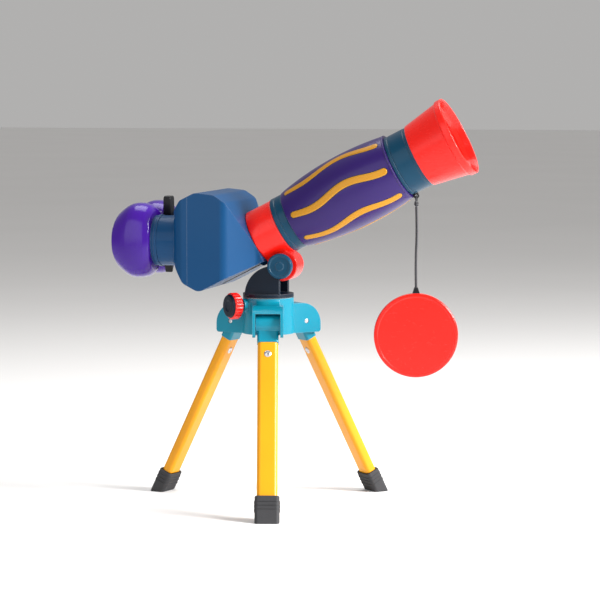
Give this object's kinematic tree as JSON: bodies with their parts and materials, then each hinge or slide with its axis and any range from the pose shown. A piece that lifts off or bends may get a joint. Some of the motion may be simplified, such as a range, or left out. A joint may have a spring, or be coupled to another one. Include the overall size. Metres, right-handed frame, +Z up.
{
  "type": "telescope on tripod",
  "caption": "Toy telescope with a twin-eye viewer, bent housing, flared hood and tethered lens cap on a folding tabletop tripod.",
  "frame": {"origin": "on the floor, on the pan axis, midway between the feet", "axes": "+X the way the telescope points, +Z up, +Y to the viewer's left"},
  "size_m": [0.3739, 0.2462, 0.4208],
  "materials": {
    "teal_plastic": "moulded, satin gloss",
    "housing_blue": "moulded, satin gloss",
    "goggle_purple": "polished",
    "sleeve_purple": "satin",
    "wave_ochre": "satin",
    "signal_red": "polished",
    "leg_yellow": "satin",
    "tripod_teal": "satin",
    "dark_teal": "fine grain",
    "black_plastic": "fine grain",
    "foot_rubber": "matt",
    "zinc_steel": "zinc plated",
    "nylon_white": "natural",
    "coated_glass": "blue coating",
    "mirror_face": "front silvered",
    "cord_black": "braided"
  },
  "bodies": {
    "tripod_crown": {"crown": "tripod_teal", "hinge_pins": "zinc_steel", "pan_bearing": "nylon_white"},
    "leg_unit_1": {"leg_knuckle_1": "tripod_teal", "leg_1": "leg_yellow", "leg_rivet_1": "zinc_steel", "foot_1": "foot_rubber"},
    "leg_unit_2": {"leg_knuckle_2": "tripod_teal", "leg_2": "leg_yellow", "leg_rivet_2": "zinc_steel", "foot_2": "foot_rubber"},
    "leg_unit_3": {"leg_knuckle_3": "tripod_teal", "leg_3": "leg_yellow", "leg_rivet_3": "zinc_steel", "foot_3": "foot_rubber"},
    "pan_head": {"tilt_yoke": "dark_teal", "pan_bolt": "zinc_steel", "pan_nut": "zinc_steel", "tilt_bolt": "zinc_steel", "tilt_disc_left": "teal_plastic", "tilt_disc_right": "teal_plastic", "friction_washers": "nylon_white"},
    "lock_knob": {"pan_lock_screw": "zinc_steel", "pan_knob": "signal_red", "pan_knob_cap": "dark_teal"},
    "telescope": {"mount_collar": "signal_red", "main_tube": "teal_plastic", "rear_ring": "teal_plastic", "light_baffle": "black_plastic", "cord_eyelet": "black_plastic", "barrel_sleeve": "sleeve_purple", "sleeve_waves": "wave_ochre", "lens_hood": "signal_red", "objective_lens": "coated_glass", "lens_retainer": "black_plastic", "housing_shell": "housing_blue", "rear_cover": "housing_blue", "housing_screws": "zinc_steel", "eye_shade": "goggle_purple", "bridge_bracket": "black_plastic", "eyepiece_left": "black_plastic", "eyepiece_right": "black_plastic", "eye_lens_left": "coated_glass", "eye_lens_right": "coated_glass", "optics_tray": "black_plastic", "beam_splitter": "coated_glass", "fold_mirrors": "mirror_face", "erecting_prism": "coated_glass"},
    "cord_swivel": {"cord_loop": "cord_black"},
    "hanging_cap": {"tether_cord": "cord_black", "cap_lug": "black_plastic", "lens_cap": "signal_red"}
  },
  "joints": [
    {"name": "pan", "type": "hinge", "parent": "tripod_crown", "child": "pan_head", "pos_m": [0, 0, 0.21499], "axis": [0, 0, 1], "continuous": true},
    {"name": "tilt", "type": "hinge", "parent": "pan_head", "child": "telescope", "pos_m": [0.0184, 0, 0.24849], "axis": [0, -1, 0], "range_deg": [-37, 10]},
    {"name": "lock_turn", "type": "hinge", "parent": "tripod_crown", "child": "lock_knob", "pos_m": [0, 0, 0.20689], "axis": [-0.7193, -0.6947, 0], "range_deg": [0, 270]},
    {"name": "leg_fold_1", "type": "hinge", "parent": "tripod_crown", "child": "leg_unit_1", "pos_m": [0.02662, 0.0257, 0.18889], "axis": [-0.6947, 0.7193, 0], "range_deg": [0, 27]},
    {"name": "leg_fold_2", "type": "hinge", "parent": "tripod_crown", "child": "leg_unit_2", "pos_m": [-0.03557, 0.0102, 0.18889], "axis": [-0.2756, -0.9613, 0], "range_deg": [0, 27]},
    {"name": "leg_fold_3", "type": "hinge", "parent": "tripod_crown", "child": "leg_unit_3", "pos_m": [0.00895, -0.0359, 0.18889], "axis": [0.9703, 0.2419, 0], "range_deg": [0, 27]},
    {"name": "cord_swivel_turn", "type": "hinge", "parent": "telescope", "child": "cord_swivel", "pos_m": [0.15693, 0, 0.32155], "axis": [0, -1, 0], "range_deg": [-12, 38]},
    {"name": "cap_swing", "type": "hinge", "parent": "cord_swivel", "child": "hanging_cap", "pos_m": [0.15693, 0, 0.31335], "axis": [1, 0, 0], "range_deg": [-20, 20]}
  ],
  "couplings": [
    {"joint": "cord_swivel_turn", "follows": "tilt", "ratio": -1}
  ]
}
